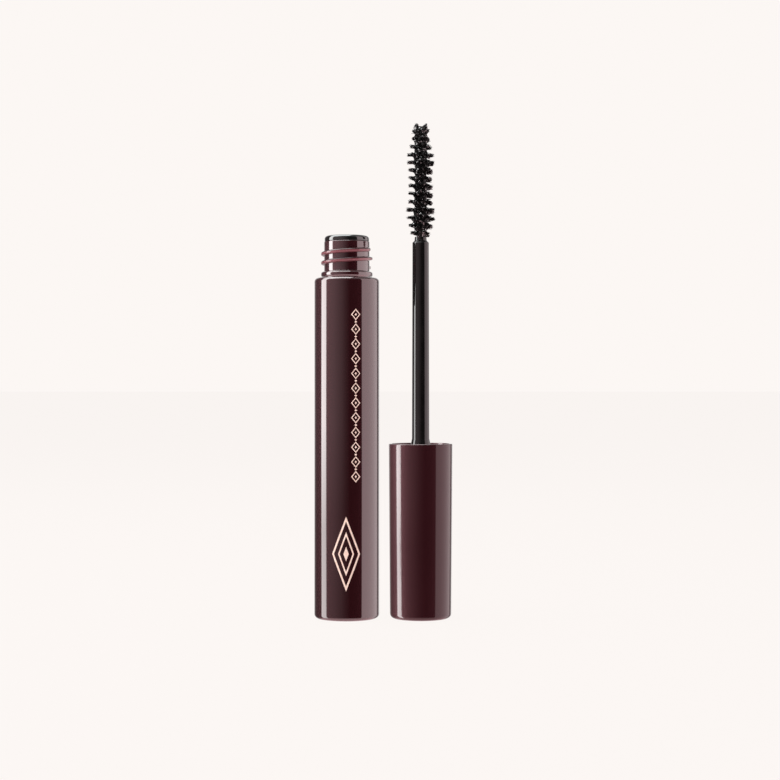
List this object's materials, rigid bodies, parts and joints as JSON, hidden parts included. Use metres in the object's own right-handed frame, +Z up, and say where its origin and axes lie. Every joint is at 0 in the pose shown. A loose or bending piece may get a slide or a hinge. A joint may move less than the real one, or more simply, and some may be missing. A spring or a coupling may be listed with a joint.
{
  "type": "mascara tube",
  "caption": "Round mascara bottle with a threaded neck and wiper, open, beside its screw cap wand with rod and twisted-wire brush.",
  "frame": {"origin": "on the surface that the bottle and the cap stand on, in the middle of the pair's bounding box", "axes": "+Z up along both tubes, +X from the bottle to the wand, +Y away from the viewer across the tubes' depth"},
  "size_m": [0.0332, 0.0156, 0.1186],
  "materials": {
    "burgundy_bottle": "high gloss, dark burgundy",
    "burgundy_cap": "gloss, dark burgundy, slightly softer than the bottle",
    "black_elastomer": "smooth moulded elastomer",
    "black_paste": "wet black paste",
    "label_paper": "coated paper, blank",
    "black_insert": "moulded, satin",
    "gasket_foam": "closed-cell foam, matt",
    "black_rod": "gloss black",
    "steel_wire": "drawn wire, wetted with paste",
    "black_nylon": "fine nylon fibres, coated",
    "rose_gold_foil": "hot-stamped rose gold foil, satin"
  },
  "bodies": {
    "bottle": {"bottle": "burgundy_bottle", "wiper": "black_elastomer", "mascara_fill": "black_paste", "base_label": "label_paper"},
    "seal": {"sealing_gasket": "gasket_foam"},
    "wand": {"cap_shell": "burgundy_cap", "inner_cap": "black_insert", "rod": "black_rod", "wire_core": "steel_wire", "bristle_row_01": "black_nylon", "bristle_row_02": "black_nylon", "bristle_row_03": "black_nylon", "bristle_row_04": "black_nylon", "bristle_row_05": "black_nylon", "bristle_row_06": "black_nylon", "bristle_row_07": "black_nylon", "bristle_row_08": "black_nylon", "bristle_row_09": "black_nylon", "bristle_row_10": "black_nylon", "bristle_row_11": "black_nylon", "bristle_row_12": "black_nylon", "bristle_row_13": "black_nylon", "bristle_row_14": "black_nylon"}
  },
  "joints": [
    {"name": "wand_lift", "type": "slide", "parent": "bottle", "child": "seal", "axis": [0, 0, 1], "range_m": [0, 0.095]},
    {"name": "cap_turn", "type": "hinge", "parent": "seal", "child": "wand", "pos_m": [0.00893, 0, 0], "axis": [0, 0, 1], "range_deg": [0, 720]}
  ]
}
